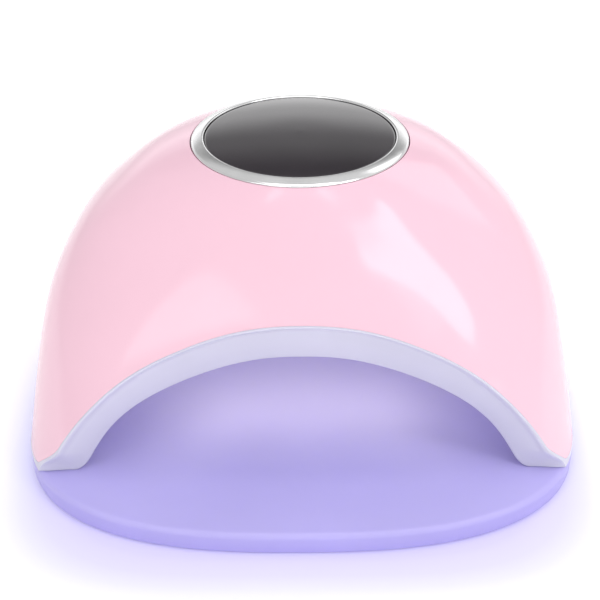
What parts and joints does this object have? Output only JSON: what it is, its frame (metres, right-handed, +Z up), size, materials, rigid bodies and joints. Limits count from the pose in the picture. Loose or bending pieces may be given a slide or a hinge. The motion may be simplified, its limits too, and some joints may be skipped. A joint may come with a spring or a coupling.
{
  "type": "uv led nail lamp",
  "caption": "Nail curing lamp: pink domed hood with a white arched hand opening, smoked round touch display in a chrome ring, on a lift-off base tray.",
  "frame": {"origin": "on the table, under the middle of the base outline's bounding box, at the underside of the rubber feet", "axes": "+X to the right of someone facing the hand opening (the widest extent), +Y from the hand opening towards the back of the lamp, +Z up (the shortest extent)"},
  "size_m": [0.22, 0.2, 0.1122],
  "materials": {
    "tray_plastic": "satin moulded white",
    "white_plastic": "semi-gloss moulded white",
    "foot_rubber": "moulded black rubber",
    "magnet_nickel": "nickel plate",
    "screw_steel": "plated steel",
    "shell_plastic": "high-gloss pink moulding",
    "liner_plastic": "smooth white reflector",
    "led_board": "white solder resist",
    "sensor_plastic": "dark infrared resin",
    "circuit_board": "green solder resist",
    "smoked_lens": "polished smoked acrylic",
    "chrome_plate": "bright chrome plate",
    "gasket_foam": "closed-cell foam tape",
    "black_plastic": "moulded black",
    "capacitor_sleeve": "printed sleeve",
    "pin_metal": "nickel-plated brass",
    "wire_jacket": "PVC jacket"
  },
  "bodies": {
    "tray": {"base_tray": "tray_plastic", "base_cover": "tray_plastic", "rubber_foot_1": "foot_rubber", "rubber_foot_2": "foot_rubber", "rubber_foot_3": "foot_rubber", "rubber_foot_4": "foot_rubber", "tray_magnet_1": "magnet_nickel", "tray_magnet_2": "magnet_nickel", "tray_magnet_3": "magnet_nickel", "tray_magnet_4": "magnet_nickel", "cover_screw_1": "screw_steel", "cover_screw_2": "screw_steel", "cover_screw_3": "screw_steel", "cover_screw_4": "screw_steel"},
    "hood": {"outer_shell": "shell_plastic", "arch_frame": "white_plastic", "hood_magnet_1": "magnet_nickel", "hood_magnet_2": "magnet_nickel", "hood_magnet_3": "magnet_nickel", "hood_magnet_4": "magnet_nickel", "rim_screw_1": "screw_steel", "rim_screw_2": "screw_steel", "rim_screw_3": "screw_steel", "rim_screw_4": "screw_steel", "reflector_liner": "liner_plastic", "led_board_right": "led_board", "led_board_left": "led_board", "led_board_rear": "led_board", "led_board_top": "led_board", "ir_emitter": "sensor_plastic", "ir_receiver": "sensor_plastic", "sensor_board": "circuit_board", "display_lens": "smoked_lens", "chrome_ring": "chrome_plate", "lens_gasket": "gasket_foam", "display_carrier": "black_plastic", "control_pcb": "circuit_board", "pcb_screw_1": "screw_steel", "pcb_screw_2": "screw_steel", "pcb_screw_3": "screw_steel", "carrier_screw_1": "screw_steel", "carrier_screw_2": "screw_steel", "carrier_screw_3": "screw_steel", "digit_display": "black_plastic", "touch_spring_1": "screw_steel", "touch_spring_2": "screw_steel", "touch_spring_3": "screw_steel", "touch_spring_4": "screw_steel", "buzzer": "black_plastic", "filter_capacitor": "capacitor_sleeve", "power_inductor": "black_plastic", "mcu_chip": "black_plastic", "driver_chip": "black_plastic", "dc_jack": "black_plastic", "dc_jack_pin": "pin_metal", "dc_jack_nut": "screw_steel", "harness_power": "wire_jacket", "harness_right": "wire_jacket", "harness_left": "wire_jacket", "harness_sensor": "wire_jacket"}
  },
  "joints": [
    {"name": "hood_lift", "type": "slide", "parent": "tray", "child": "hood", "axis": [0, 0, 1], "range_m": [0, 0.06]}
  ]
}
